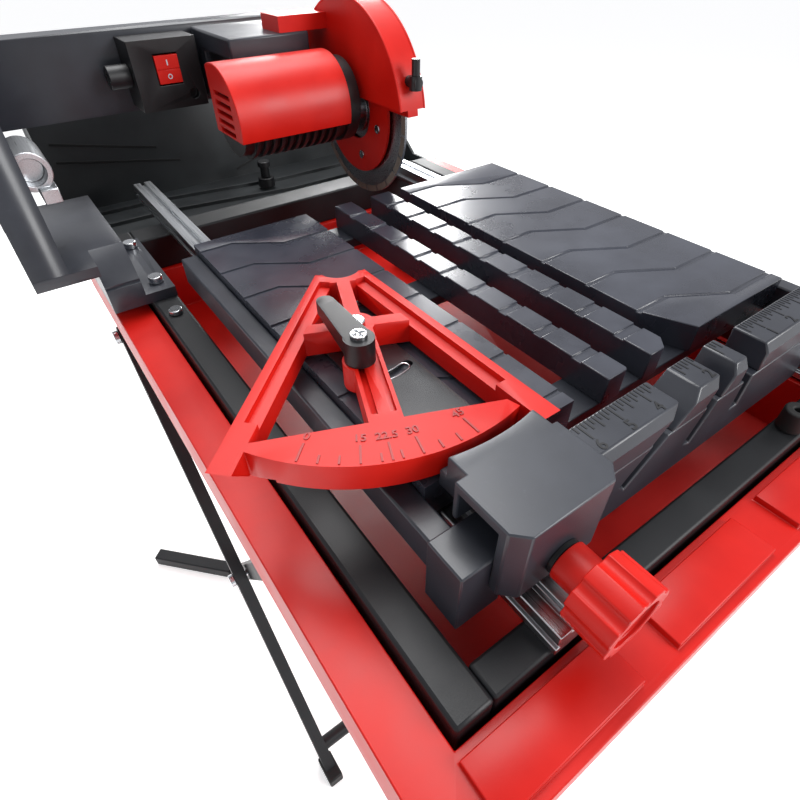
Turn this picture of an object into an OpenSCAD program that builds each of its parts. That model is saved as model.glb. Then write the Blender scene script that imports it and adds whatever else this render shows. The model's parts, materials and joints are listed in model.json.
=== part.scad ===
// Wet tile cutter: sliding table, tilting head and folding scissor stand.
// Working frame: x = 0 in the blade plane, y = 0 on the fence's rear face, z = 0 on the table top.

/* [Table] */
// Width of the left plate
deck_left_w = 120; // [100:1:140]
// Width of the slot for 45 degree cuts
slot_a_w = 34.5; // [30:0.5:38]
// Width of the strip beside the 45 degree slot
strip_1_w = 21; // [18:1:25]
// Width of the slot for 22.5 degree cuts
slot_b_w = 25; // [22:0.5:28]
// Width of the strip beside the blade
strip_2_w = 24.5; // [21:0.5:28]
// Width of the slot for straight cuts
slot_c_w = 16; // [14:0.5:20]
// Width of the right plate
deck_right_w = 142; // [110:1:170]
// Length of the table plates
deck_len = 359; // [300:1:430]
// Gap between the fence and the plates
deck_gap = 26; // [20:1:32]
// Depth of the table plates and strips
deck_t = 23; // [20:1:28]
// Height of the fence above the table
fence_h = 20; // [16:1:24]
// Travel of the table
cart_travel = 400; // [330:5:400]

/* [Head] */
// Blade radius
blade_r = 90; // [80:1:95]
// Blade body thickness
blade_t = 2.2; // [1.6:0.1:3]
// Arbor radius
arbor_r = 11.1; // [8:0.1:12.7]
// Height of the arbor above the table
arbor_z = 72; // [68:1:80]
// Distance of the arbor behind the fence
arbor_y = 452; // [440:1:480]
// Left offset of the tilt axis from the blade plane
tilt_off = 30; // [20:1:40]
// Height of the tilt axis above the table
tilt_z = 107; // [100:1:115]

/* [Stop and protractor] */
// Width of the stop block
stop_w = 72; // [60:1:85]
// Outer radius of the protractor's arc
arc_r = 130; // [115:1:140]
// Height of the protractor
prot_h = 18.4; // [15:0.2:21]
// Radius of the pivot pin
pivot_r = 4; // [3:0.25:5]
// Clamping knob radius
knob_r = 22; // [18:1:23]

/* [Base] */
// Height of the table top above the floor
table_h = 770; // [700:10:850]
// Side margin from the table to the tray's outer edge
tray_margin = 84; // [80:1:100]
// Depth of the water tray below its rim
tray_depth = 85; // [75:1:95]
// Steel frame tube width
tube_w = 25; // [22:1:28]
// Steel frame tube height
tube_h = 40; // [36:1:44]
// Width of the aluminium guide rails
rail_w = 23; // [20:1:25]

/* [Stand] */
// Forward reach of each leg from its top pivot to the crossing
leg_reach = 212; // [200:1:225]
// Width of the leg tube
leg_w = 24; // [20:1:26]
// Depth below the table top of the leg pivots
pivot_drop = 170; // [165:1:185]

/* [Hidden] */

e = 0.01;
gap = 0.3;
run = 0.05;
sl_c = slot_c_w / 2;
x_strip_2 = -sl_c - strip_2_w;
x_slot_b = x_strip_2 - slot_b_w;
x_strip_1 = x_slot_b - strip_1_w;
x_left_in = x_strip_1 - slot_a_w;
x_left = x_left_in - deck_left_w;
x_right = sl_c + deck_right_w;
x_mid = (x_left + x_right) / 2;
side_w = 16;
deck_back = deck_gap + deck_len;

tilt_x = -tilt_off;
// Where the blade plane tilted by angle a crosses the height z
function kerf_x(a, z) = tilt_x + tilt_off / cos(a) + (z - tilt_z) * tan(a);

beam_d = 27;
beam_h = 50;
beam_top = -2;
beam_x0 = x_left - side_w - 3;
beam_x1 = x_right + side_w + 2;
cross_h = 10;
rail_top = -deck_t - cross_h - 3;
frame_top = -55;
rail_x = x_left + 15 + rail_w / 2;
tube_wall = 2;
rail_y0 = -66;
rail_y1 = cart_travel + 290;
tray_x = deck_half() + tray_margin;
function deck_half() = (x_right - x_left) / 2;
tray_y0 = -107;
tray_y1 = 602;
rim_z = frame_top - 10;
rail_out = tray_x - 35;
front_tube_y = -64;
rear_tube_w = tube_w * 1.5;
rear_tube_y = tray_y1 - 12.5 - rear_tube_w;
tray_wall = 3;
tray_floor = rim_z - tray_depth;
splash_y1 = 800;
splash_top = 42;

leg_drop = (table_h - pivot_drop) / 2;
leg_half = sqrt(leg_reach * leg_reach + leg_drop * leg_drop);
leg_y_back = 557;
leg_y_mid = leg_y_back - leg_reach;
leg_y_front = leg_y_mid - leg_reach;
leg_z_mid = -pivot_drop - leg_drop;
leg_t = 16;
leg_x_a = tray_x - 2 - leg_t;
leg_x_b = leg_x_a - leg_t - 3;
leg_ang = atan2(leg_drop, leg_reach);
pin_r = 5;
foot_cut = 24;
stab_x = 110;
stab_y = 118;

stop_x1 = -161;
stop_x0 = stop_x1 - stop_w;
stop_xm = (stop_x0 + stop_x1) / 2 + 2;
prot_z = 3.6;
prot_gap = 9;
pivot_y = 154;
arm_out = 46;
arm_w = 14;
arm_top = 60;
arm_tip = 148;
arc_mid = -112.25;
band_in = 98.4;
bridge_far = 72;
lever_r = 41.5;
lever_a = -118.4;
stud_r = 3;
stem_r = 6;
knob_z = -12;
tongue_t = 3;
roof_z = fence_h + 0.6;

c_cast = "#4b4e58";
c_red = "#e3221d";
c_steel = "#3a3d42";
c_alu = "#c9cbce";
c_black = "#1c1c1e";
c_chrome = "#d8dadd";

// Moves the working frame so that the floor is z = 0 and the footprint is centred
module on_floor() {
    translate([-x_mid, -(tray_y0 + splash_y1) / 2, table_h]) children();
}

module block(x0, x1, y0, y1, z0, z1) {
    translate([x0, y0, z0]) cube([x1 - x0, y1 - y0, z1 - z0]);
}

module both_sides() {
    children();
    translate([2 * x_mid, 0, 0]) mirror([1, 0, 0]) children();
}

module rod_x(x0, x1, y, z, r, fn = 48) {
    translate([x0, y, z]) rotate([0, 90, 0]) cylinder(h = x1 - x0, r = r, $fn = fn);
}

module rod_y(x, y0, y1, z, r, fn = 48) {
    translate([x, y0, z]) rotate([-90, 0, 0]) cylinder(h = y1 - y0, r = r, $fn = fn);
}

module rod_z(x, y, z0, z1, r, fn = 48) {
    translate([x, y, z0]) cylinder(h = z1 - z0, r = r, $fn = fn);
}

// Section in the y, z plane, extruded along x
module along_x(x0, x1) {
    translate([x0, 0, 0]) rotate([90, 0, 90]) linear_extrude(x1 - x0) children();
}

// ---- Table ----

tread_w = 4;
tread_d = 1.4;
tread_pitch = 50;
tread_drop = 28;

// One tread groove: straight, diagonal, straight
module tread_line(x0, x1, y) {
    xa = x0 + (x1 - x0) * 0.26;
    xb = x0 + (x1 - x0) * 0.6;
    h = tread_w / 2;
    polygon([[x0 - 1, y - h], [xa, y - h], [xb, y - tread_drop - h], [x1 + 1, y - tread_drop - h],
        [x1 + 1, y - tread_drop + h], [xb, y - tread_drop + h], [xa, y + h], [x0 - 1, y + h]]);
}

module plate(x0, x1, chamfer) {
    skin = 9;
    wall = 8;
    difference() {
        translate([0, 0, -deck_t]) linear_extrude(deck_t)
            polygon([[x0, deck_gap + chamfer], [x0 + chamfer * 0.45, deck_gap], [x1, deck_gap],
                [x1, deck_back], [x0, deck_back]]);
        block(x0 + wall + chamfer * 0.3, x1 - wall, deck_gap + wall, deck_back - wall, -deck_t - 1, -skin);
        translate([0, 0, -tread_d]) linear_extrude(tread_d + 1)
            for (y = [deck_gap + 40 : tread_pitch : deck_back - 8]) tread_line(x0, x1, y);
    }
}

module deck_left() {
    color(c_cast) on_floor() plate(x_left, x_left_in, 0.1);
}

module deck_right() {
    color(c_cast) on_floor() plate(sl_c, x_right, 40);
}

module strip(x0, x1, chamfer) {
    pitch = 37;
    width = 8;
    difference() {
        translate([0, 0, -deck_t]) linear_extrude(deck_t)
            polygon([[x0, deck_gap], [x1 - chamfer, deck_gap], [x1, deck_gap + chamfer], [x1, deck_back],
                [x0, deck_back]]);
        for (y = [deck_gap + 24 : pitch : deck_back - 12])
            block(x0 - 1, x1 + 1, y, y + width, -1.6, 1);
    }
}

module deck_strip_1() {
    color(c_cast) on_floor() strip(x_strip_1, x_slot_b, 2);
}

module deck_strip_2() {
    color(c_cast) on_floor() strip(x_strip_2, -sl_c, 9);
}

module cart_sides() {
    color(c_cast) on_floor() both_sides()
        block(x_left - side_w, x_left, 0, deck_back - 4, -deck_t - cross_h, -8);
}

cross_w = 34;

module cart_beams() {
    color(c_cast) on_floor()
        for (y = [deck_gap + 2, (deck_gap + deck_back) / 2, deck_back - cross_w - 2])
            block(x_left, x_right, y, y + cross_w, -deck_t - cross_h, -deck_t);
}

// Plastic shoes that straddle the guide rails under the cross beams
module glide_shoes() {
    cheek = 6;
    y_back = deck_back - cross_w - 2;
    color(c_black) on_floor() both_sides() for (y = [deck_gap + 2, y_back]) difference() {
        block(rail_x - rail_w / 2 - cheek, rail_x + rail_w / 2 + cheek, y, y + cross_w,
            rail_top - 12, -deck_t - cross_h);
        block(rail_x - rail_w / 2 - gap, rail_x + rail_w / 2 + gap, y - 1, y + cross_w + 1,
            rail_top - 13, rail_top + gap);
    }
}

// Slanted channel that the blade and guard pass through
module kerf(a, w, z0) {
    len = 140;
    translate([kerf_x(a, 0), -60, 0]) rotate([0, a, 0]) translate([-w / 2, 0, 0])
        block(0, w, 0, 120, z0, len);
}

module front_beam() {
    color(c_cast) on_floor() difference() {
        block(beam_x0, beam_x1, -beam_d, 0, beam_top - beam_h, beam_top);
        kerf(0, 10, -28);
        kerf(22.5, 10, -34);
        kerf(45, 10, -40);
        both_sides() block(rail_x - rail_w / 2 - 3, rail_x + rail_w / 2 + 3, -beam_d - 1, 1,
            beam_top - beam_h - 1, rail_top + 1.5);
    }
}

ruler_x0 = -158;

// Ruler bar split by the three blade gaps, with a chamfered front edge
module ruler() {
    color(c_cast) on_floor() difference() {
        along_x(ruler_x0, beam_x1 - 4)
            polygon([[0, beam_top], [0, fence_h], [-beam_d + 4, fence_h], [-beam_d, fence_h - 7],
                [-beam_d, beam_top]]);
        kerf(0, 24, -20);
        kerf(22.5, 17, -26);
        kerf(45, 15, -34);
    }
}

// ---- Base ----

// Square tube along y or x with closed ends
module box_tube(x0, x1, y0, y1, z0, z1) {
    w = tube_wall;
    difference() {
        block(x0, x1, y0, y1, z0, z1);
        block(x0 + w, x1 - w, y0 + w, y1 - w, z0 + w, z1 - w);
    }
}

module side_rails() {
    x0 = x_mid - rail_out;
    color(c_steel) on_floor() both_sides()
        box_tube(x0, x0 + tube_w, front_tube_y, rear_tube_y + rear_tube_w, frame_top - tube_h, frame_top);
}

module cross_tubes() {
    x0 = x_mid - rail_out + tube_w;
    x1 = x_mid + rail_out - tube_w;
    color(c_steel) on_floor() {
        box_tube(x0, x1, front_tube_y, front_tube_y + 21, frame_top - tube_h, frame_top);
        box_tube(x0, x1, rear_tube_y, rear_tube_y + rear_tube_w, frame_top - tube_h, frame_top);
    }
}

module guide_rails() {
    groove = 5;
    h = rail_top - frame_top;
    color(c_alu) on_floor() both_sides() difference() {
        block(rail_x - rail_w / 2, rail_x + rail_w / 2, rail_y0, rail_y1, frame_top, rail_top);
        block(rail_x - groove / 2, rail_x + groove / 2, rail_y0 - 1, rail_y1 + 1, rail_top - 4, rail_top + 1);
        for (s = [-1, 1]) translate([rail_x + s * rail_w / 2, 0, frame_top + h / 2 - 2])
            block(-3, 3, rail_y0 - 1, rail_y1 + 1, -2, 3);
    }
}

module water_tray() {
    x0 = x_mid - tray_x;
    x1 = x_mid + tray_x;
    xa = x_mid - rail_out - 3;
    xb = x_mid + rail_out + 3;
    ya = front_tube_y - 3;
    yb = tray_y1 - 8;
    ledge = frame_top - tube_h - 0.2;
    tub_x0 = x_mid - rail_out + tube_w + 4;
    tub_x1 = x_mid + rail_out - tube_w - 4;
    tub_y0 = front_tube_y + 26;
    tub_y1 = rear_tube_y - 6;
    skirt = 50;
    wall = tray_wall;
    color(c_red) on_floor() difference() {
        union() {
            block(x0, x1, tray_y0, tray_y1, tray_floor - wall, rim_z);
            for (i = [0 : 3]) block(x0 + 30 + i * pad_pitch, x0 + 30 + i * pad_pitch + pad_w,
                tray_y0 + 6, front_tube_y - 8, rim_z - e, rim_z + 5);
        }
        // Recess that the steel frame sits in
        block(xa, xb, ya, yb, ledge, rim_z + 1);
        // Water tub
        block(tub_x0, tub_x1, tub_y0, tub_y1, tray_floor, rim_z + 1);
        // Hollow below the rim and the frame's ledge
        difference() {
            block(x0 + wall, x1 - wall, tray_y0 + wall, tray_y1 - wall, tray_floor - wall - 1, rim_z - wall);
            block(tub_x0 - wall, tub_x1 + wall, tub_y0 - wall, tub_y1 + wall, tray_floor - wall - 1, rim_z);
            block(xa - wall, xb + wall, ya - wall, yb + wall, ledge - wall, rim_z);
        }
        // Open skirt below the rim
        difference() {
            block(x0 - 1, x1 + 1, tray_y0 - 1, tray_y1 + 1, tray_floor - wall - 1, rim_z - skirt);
            block(tub_x0 - wall, tub_x1 + wall, tub_y0 - wall, tub_y1 + wall, tray_floor - wall - 1, rim_z);
        }
        rod_z(x_mid, tub_y0 + 60, tray_floor - wall - 1, tray_floor + 1, plug_r);
    }
}

plug_r = 12;
pad_w = 100;
pad_pitch = 130;

module drain_plug() {
    y = front_tube_y + 86;
    color(c_black) on_floor() {
        rod_z(x_mid, y, tray_floor - tray_wall, tray_floor + e, plug_r);
        rod_z(x_mid, y, tray_floor, tray_floor + 4, plug_r + 5);
        rod_z(x_mid, y, tray_floor - tray_wall - 6, tray_floor - tray_wall, plug_r - 4);
    }
}

// Dark rear pan that catches the spray behind the frame
module splash_tray() {
    x0 = x_mid - tray_x + 6;
    x1 = x_mid + tray_x - 6;
    z1 = frame_top - 14;
    y0 = tray_y1 + 1;
    color(c_steel) on_floor() {
        difference() {
            union() {
                block(x0, x1, y0, splash_y1, z1 - 42, z1);
                along_x(x0, x1)
                    polygon([[splash_y1 - 150, z1 - e], [splash_y1 - 4, splash_top],
                        [splash_y1, splash_top], [splash_y1, z1 - e]]);
            }
            block(x0 + 4, x1 - 4, y0 + 4, splash_y1 - 4, z1 - 24, splash_top + 1);
            block(x0 + 4, x1 - 4, y0 + 4, splash_y1 - 4, z1 - 43, z1 - 28);
        }
        translate([0, 0, z1 - 24 - e]) linear_extrude(5)
            for (y = [y0 + 60 : 50 : splash_y1 - 20]) intersection() {
                tread_line(x0 + 4, x1 - 4, y);
                translate([x0 + 5, y0]) square([x1 - x0 - 10, splash_y1 - y0]);
            }
    }
}

pump_x = 90;
pump_y = 450;

module pump() {
    color(c_black) on_floor() {
        block(pump_x - 30, pump_x + 30, pump_y - 25, pump_y + 25, tray_floor + e, tray_floor + 44);
        rod_z(pump_x, pump_y, tray_floor + 44 - e, tray_floor + 56, 7);
        rod_z(pump_x, pump_y, tray_floor + 56 - e, tray_floor + 66, 5);
    }
}

// Rubber buffers with a socket bolt on the front tube
module buffers() {
    r = 9;
    h = 18;
    y = front_tube_y + 10.5;
    color(c_black) on_floor() for (x = [x_mid + 90, x_mid + 190]) difference() {
        rod_z(x, y, frame_top, frame_top + h, r);
        rod_z(x, y, frame_top + h - 6, frame_top + h + 1, 3);
    }
}

module frame_bolts() {
    x = x_mid - rail_out + tube_w / 2;
    color(c_chrome) on_floor() both_sides()
        for (y = [150, 372]) rod_z(x, y, frame_top, frame_top + 5, 6.5);
}

foot_y0 = 405;
foot_y1 = 540;
col_x1 = x_mid - tray_x + 2;
col_x0 = col_x1 - 55;
col_y1 = 640;
col_top = 190;
shoulder_z = -1;
wing_z = -3;
bridge_z0 = 70;
bridge_z1 = 145;
bridge_y0 = 596;
bridge_y1 = 636;

// Cast column: flange on the side rail, stepped shoulder and tall wall with a hollow inside
module column() {
    x_rail = x_mid - rail_out;
    t = 10;
    zf = frame_top;
    step_x = x_rail - 36;
    color(c_cast) on_floor() difference() {
        union() {
            block(step_x, x_rail + tube_w, foot_y0, foot_y1, zf, zf + t);
            along_x(step_x, x_rail - 4)
                polygon([[foot_y0, zf + t - e], [foot_y0, zf + 24], [foot_y0 + 30, shoulder_z],
                    [foot_y1 + 40, shoulder_z], [foot_y1 + 40, zf + t - e]]);
            along_x(col_x0, step_x + 1)
                polygon([[foot_y0 - 8, wing_z - 8], [foot_y0 - 8, shoulder_z], [foot_y1 + 40, shoulder_z],
                    [foot_y1 + 40, wing_z - 30], [foot_y0 + 20, wing_z - 18]]);
            along_x(col_x0, col_x1 - 25)
                polygon([[foot_y0 - 8, shoulder_z - 2], [foot_y0 + 20, col_top], [col_y1, col_top],
                    [col_y1, bridge_z0 - 30], [foot_y1 + 40, shoulder_z - 2]]);
        }
        block(col_x0 + 6, col_x1 - 31, foot_y0 + 60, col_y1 - 8, shoulder_z + 8, col_top - 8);
        for (y = [foot_y0 + 20, foot_y1 - 20])
            rod_z(x_rail + tube_w / 2, y, zf - 1, zf + t + 1, 4.2);
        for (z = [zf + 24, zf + 38]) block(step_x - 1, x_rail - 3, foot_y0 - 9, foot_y0 + 3, z, z + 3);
    }
}

module column_bolts() {
    x = x_mid - rail_out + tube_w / 2;
    color(c_chrome) on_floor() for (y = [foot_y0 + 20, foot_y1 - 20]) {
        rod_z(x, y, frame_top + 10, frame_top + 17, 7);
        rod_z(x, y, frame_top + e, frame_top + 10 + e, 4);
    }
}

sleeve_z = 72;
sleeve_y = foot_y0 + 34;
sleeve_r = 16;

// Aluminium clamp sleeve on the column's inner face with its key plate
module column_sleeve() {
    x = col_x1 - 18;
    color(c_alu) on_floor() {
        difference() {
            rod_y(x, sleeve_y, sleeve_y + 60, sleeve_z, sleeve_r);
            rod_y(x, sleeve_y - 1, sleeve_y + 14, sleeve_z, sleeve_r - 5);
        }
        block(x, x + 14, sleeve_y - 8, sleeve_y + 40, sleeve_z - sleeve_r - 9, sleeve_z - sleeve_r + 3);
    }
}

// Beam from the column to the tilt axis, with a cheek that carries the pin
module cross_beam() {
    color(c_cast) on_floor() difference() {
        union() {
            block(col_x1 - 25, tilt_x + 34, bridge_y0, bridge_y1, bridge_z0, bridge_z1);
            rod_y(tilt_x, bridge_y0 - 6, bridge_y1, tilt_z, 34);
        }
        block(col_x1 - 19, tilt_x - lock_off - 20, bridge_y0 + 6, bridge_y1 - 6,
            bridge_z0 + 6, bridge_z1 - 6);
        rod_y(tilt_x, bridge_y0 - 7, bridge_y1 + 1, tilt_z, trun_r);
        rod_y(tilt_x - lock_off, bridge_y0 - 1, bridge_y1 + 1, tilt_z, lock_r + run);
    }
}

trun_r = 12;
lock_off = 62;
lock_r = 5;
head_y0 = 560;
head_y1 = bridge_y0 - 6.4;

module trunnion_pin() {
    color(c_chrome) on_floor() {
        rod_y(tilt_x, head_y0 - 8, bridge_y1, tilt_z, trun_r);
        rod_y(tilt_x, bridge_y1 - e, bridge_y1 + 10, tilt_z, trun_r + 7);
    }
}

// Steel plates hung from the side rails that hold the stand
module leg_brackets() {
    xb = leg_x_b - 0.5;
    zt = frame_top - tube_h;
    color(c_steel) on_floor() both_sides() {
        difference() {
            block(x_mid - xb, x_mid - xb + 5, leg_y_back - 22, leg_y_back + 22, -pivot_drop - 18, zt - 4);
            rod_x(x_mid - xb - 1, x_mid - xb + 6, leg_y_back, -pivot_drop, pin_r + run);
        }
        difference() {
            block(x_mid - xb + 0.5, x_mid - xb + 5.5, leg_y_front - 30, leg_y_front + 26,
                -pivot_drop - 18, zt - 4);
            block(x_mid - xb, x_mid - xb + 6, leg_y_front - 31, leg_y_front,
                -pivot_drop - 8, -pivot_drop + 8);
            rod_x(x_mid - xb, x_mid - xb + 6, leg_y_front, -pivot_drop, 8);
        }
    }
}

box_x = -170;

module switch_box() {
    y = bridge_y0;
    color(c_black) on_floor() difference() {
        block(box_x - 35, box_x + 35, y - 44, y, 76, 140);
        block(box_x - 12.3, box_x + 12.3, y - 45, y - 32, 98.7, 127.3);
        rod_y(box_x + 22, y - 45, y - 36, 88, 5);
    }
}

module rocker() {
    y = bridge_y0;
    color(c_red) on_floor() difference() {
        union() {
            block(box_x - 12, box_x + 12, y - 46, y - 40, 100.3, 125.7);
            rod_x(box_x - 12, box_x + 12, y - 38, 113, 5);
        }
        block(box_x - 13, box_x + 13, y - 48, y - 45, 112.4, 113.6);
    }
}

module inlet() {
    y = bridge_y0;
    color(c_black) on_floor() difference() {
        rod_x(box_x - 57, box_x - 35, y - 22, 108, 11);
        rod_x(box_x - 58, box_x - 40, y - 22, 108, 5);
    }
}

// ---- Side stop, protractor, lever and knob ----

module at_pivot() {
    translate([stop_xm, pivot_y, 0]) children();
}

module stop_block() {
    roof = 6.4;
    tip_y = 24;
    z1 = roof_z + roof;
    front = -41;
    x_arm = arm_out - arm_w - 1.6;
    color(c_cast) on_floor() difference() {
        translate([0, 0, -26]) linear_extrude(z1 + 26) polygon([[stop_x0, front + 8],
            [stop_x0 + 8, front], [stop_x1 - 8, front], [stop_x1, front + 8], [stop_x1, 4],
            [stop_xm + x_arm, 4], [stop_xm + x_arm, tip_y], [stop_xm - x_arm, tip_y],
            [stop_xm - x_arm, 4], [stop_x0, 4]]);
        translate([stop_xm, pivot_y, 12]) cylinder(h = 40, r = arc_r + prot_gap, $fn = 96);
        translate([stop_xm, pivot_y, -40]) cylinder(h = 60, r = arc_r + 2.5, $fn = 96);
        // Channel that clears the ruler and the front beam
        block(stop_x0 - 1, stop_x1 + 1, -beam_d - gap, gap, -60, roof_z);
        block(stop_x0 - 1, stop_x1 + 1, 0, 60, -60, 0.4);
        block(stop_xm - 24, stop_xm + 24, 0, 60, -1, 0.4 + tongue_t);
        rod_y(stop_xm - 2, front - 1, -beam_d + 1, knob_z, stem_r + run);
    }
}

module tongue_outline() {
    difference() {
        union() {
            translate([-23, -pivot_y + 2 * gap]) square([46, pivot_y + 6]);
            translate([0, 6]) circle(r = 23, $fn = 64);
        }
        difference() {
            intersection() {
                circle(r = lever_r + stud_r + 0.7, $fn = 96);
                polygon([[0, 0], 90 * [cos(lever_a - 3), sin(lever_a - 3)],
                    120 * [cos(lever_a + 22), sin(lever_a + 22)],
                    90 * [cos(lever_a + 51), sin(lever_a + 51)]]);
            }
            circle(r = lever_r - stud_r - 0.7, $fn = 96);
        }
        for (a = [lever_a - 3, lever_a + 51])
            translate(lever_r * [cos(a), sin(a)]) circle(r = stud_r + 0.7, $fn = 32);
    }
}

module stop_tongue() {
    color(c_alu) on_floor() at_pivot() translate([0, 0, 0.4]) linear_extrude(tongue_t) tongue_outline();
}

module pivot_pin() {
    color(c_chrome) on_floor() at_pivot() {
        rod_z(0, 0, 0.4 + tongue_t - e, prot_z + prot_h + 1, pivot_r);
        rod_z(0, 0, prot_z + prot_h + 0.4, prot_z + prot_h + 3, pivot_r + 2.5);
    }
}

module knob_washer() {
    color(c_black) on_floor() difference() {
        rod_y(stop_xm - 2, -44, -41, knob_z, 11);
        rod_y(stop_xm - 2, -45, -40, knob_z, stem_r + run);
    }
}

// A straight bar of the protractor: starts behind the pivot and runs out along direction a
module arm2d(a, side) {
    rotate(a) translate([-arm_top, side > 0 ? arm_out - arm_w : -arm_out]) square([arm_top + arm_tip, arm_w]);
}

module band2d() {
    intersection() {
        circle(r = arc_r, $fn = 128);
        rotate(arc_mid) translate([band_in, -120]) square([60, 240]);
        polygon([[0, 0], 400 * [cos(arc_mid - 38), sin(arc_mid - 38)], 400 * [cos(arc_mid), sin(arc_mid)],
            400 * [cos(arc_mid + 36), sin(arc_mid + 36)]]);
    }
}

module ribs2d() {
    rotate(arc_mid) {
        translate([0, -10]) square([band_in + 2, 20]);
        translate([-5, -arm_out + 4]) square([10, 2 * arm_out - 8]);
        translate([-64, -5]) square([64, 10]);
    }
    circle(r = 13, $fn = 48);
}

module protractor() {
    flange = 8;
    color(c_red) on_floor() at_pivot() difference() {
        translate([0, 0, prot_z]) linear_extrude(prot_h) difference() {
            union() {
                arm2d(arc_mid + 22.5, 1);
                arm2d(arc_mid - 22.5, -1);
                band2d();
                ribs2d();
                rotate(arc_mid) translate([-bridge_far, -20]) square([14, 40]);
                translate(lever_r * [cos(lever_a), sin(lever_a)]) circle(r = 11.5, $fn = 48);
            }
            rotate(arc_mid) translate([-bridge_far - 9, 0]) circle(r = 17, $fn = 48);
            circle(r = pivot_r + run, $fn = 48);
            translate(lever_r * [cos(lever_a), sin(lever_a)]) circle(r = stud_r + run, $fn = 32);
        }
        // Each arm keeps a raised outer edge beside a lower inner flange
        for (s = [-1, 1]) translate([0, 0, prot_z + prot_h - 4.5]) linear_extrude(6)
            rotate(arc_mid + s * 22.5)
                translate([-arm_top + 9, s > 0 ? arm_out - arm_w - e : -arm_out + arm_w - flange + e])
                    square([arm_top + 96, flange]);
        // Sloped ends of the arms
        for (s = [-1, 1]) rotate(arc_mid + s * 22.5)
            translate([arm_tip, s * arm_out, prot_z + prot_h]) rotate([0, 40, 0])
                translate([-4, -30, -40]) cube([30, 60, 80]);
        // The rib frame sits lower than the arms and the band
        translate([0, 0, prot_z + prot_h - 4]) linear_extrude(5) rotate(arc_mid)
            for (s = [-1, 1]) translate([16, s * 5.5 - 2]) square([band_in - 22, 4]);
    }
}

lever_z = prot_z + prot_h + gap;
lever_h = 17;

module at_lever() {
    at_pivot() translate(lever_r * [cos(lever_a), sin(lever_a)]) children();
}

module clamp_lever() {
    color(c_black) on_floor() at_lever() {
        rod_z(0, 0, lever_z, lever_z + lever_h, 10);
        rod_z(0, 0, 0.6, lever_z + e, stud_r);
        hull() {
            rod_z(0, 0, lever_z + 4, lever_z + lever_h, 9, 32);
            rod_z(3, 46, lever_z + 10, lever_z + lever_h + 2, 6, 32);
        }
    }
}

module lever_screw() {
    color(c_chrome) on_floor() at_lever() difference() {
        rod_z(0, 0, lever_z + lever_h, lever_z + lever_h + 3, 5.5);
        block(-4, 4, -0.8, 0.8, lever_z + lever_h + 1.4, lever_z + lever_h + 4);
        block(-0.8, 0.8, -4, 4, lever_z + lever_h + 1.4, lever_z + lever_h + 4);
    }
}

knob_y = -44 - gap;
neck = 16;
knob_d = 26;

module knob() {
    lobes = 8;
    x = stop_xm - 2;
    color(c_red) on_floor() {
        rod_y(x, knob_y - neck, knob_y, knob_z, 12);
        difference() {
            rod_y(x, knob_y - neck - knob_d, knob_y - neck + e, knob_z, knob_r);
            for (i = [0 : lobes - 1]) rotate_about_y(x, knob_z, i * 360 / lobes)
                rod_y(x + knob_r + 2.5, knob_y - neck - knob_d - 1, knob_y - neck + 1, knob_z, 5);
            rod_y(x, knob_y - neck - knob_d - 1, knob_y - neck - knob_d + 2.5, knob_z, knob_r - 7);
        }
    }
}

module rotate_about_y(x, z, a) {
    translate([x, 0, z]) rotate([0, a, 0]) translate([-x, 0, -z]) children();
}

module knob_stem() {
    color(c_chrome) on_floor() rod_y(stop_xm - 2, knob_y, -beam_d - 2 * gap, knob_z, stem_r);
}

// ---- Head ----

guard_r = 66;
guard_t = 6;
hood_r = blade_r + 12;

// Plate that swings on the trunnion pin and reaches down to the motor
module carrier() {
    color(c_cast) on_floor() difference() {
        union() {
            rod_y(tilt_x, head_y0, head_y1, tilt_z, 34);
            block(tilt_x - 96, tilt_x + 12, head_y0, head_y1, tilt_z - 30, tilt_z + 36);
            block(tilt_x - 96, tilt_x - 8, arbor_y + 30, head_y0 + e, tilt_z + 18, tilt_z + 36);
        }
        rod_y(tilt_x, head_y0 - 1, head_y1 + 1, tilt_z, trun_r + run);
    }
}

motor_r = 40;
motor_x1 = -22;
motor_x0 = -150;

// Motor with cooling fins, lying across the saw on the blade's left
module motor() {
    z = arbor_z + 12;
    color(c_black) on_floor() difference() {
        union() {
            rod_x(motor_x0, motor_x1, arbor_y, z, motor_r - 4);
            for (x = [motor_x0 + 10 : 9 : motor_x1 - 24]) rod_x(x, x + 4, arbor_y, z, motor_r);
            rod_x(motor_x1 - 14, motor_x1, arbor_y, z, motor_r);
            block(tilt_x - 90, tilt_x - 12, arbor_y + 20, head_y0 - gap, tilt_z - 12, tilt_z + 17.9);
        }
        rod_x(motor_x1 - 10, motor_x1 + 1, arbor_y, arbor_z, arbor_r + run);
    }
}

// Red cowl over the motor
module motor_cover() {
    z = arbor_z + 12;
    color(c_red) on_floor() difference() {
        rod_x(motor_x0 - 8, motor_x1 - 16, arbor_y, z, motor_r + 7);
        rod_x(motor_x0 - 2, motor_x1 - 15, arbor_y, z, motor_r + gap);
        block(motor_x0 - 20, motor_x1, arbor_y - 80, arbor_y + 80, z - 80, z - 14);
        block(motor_x0 - 20, motor_x1, arbor_y + 18, arbor_y + 80, z - 20, z + 80);
        for (i = [-2 : 2])
            block(motor_x0 - 9, motor_x0 - 1, arbor_y - 30, arbor_y + 8, z + i * 8 + 4, z + i * 8 + 8);
    }
}

module guard_outline(inset) {
    circle(r = guard_r - inset, $fn = 96);
    intersection() {
        circle(r = hood_r - inset, $fn = 128);
        translate([-150, 10]) square([300, 200]);
    }
    translate([10, 8]) square([hood_r - 12 - inset, 60]);
}

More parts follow.
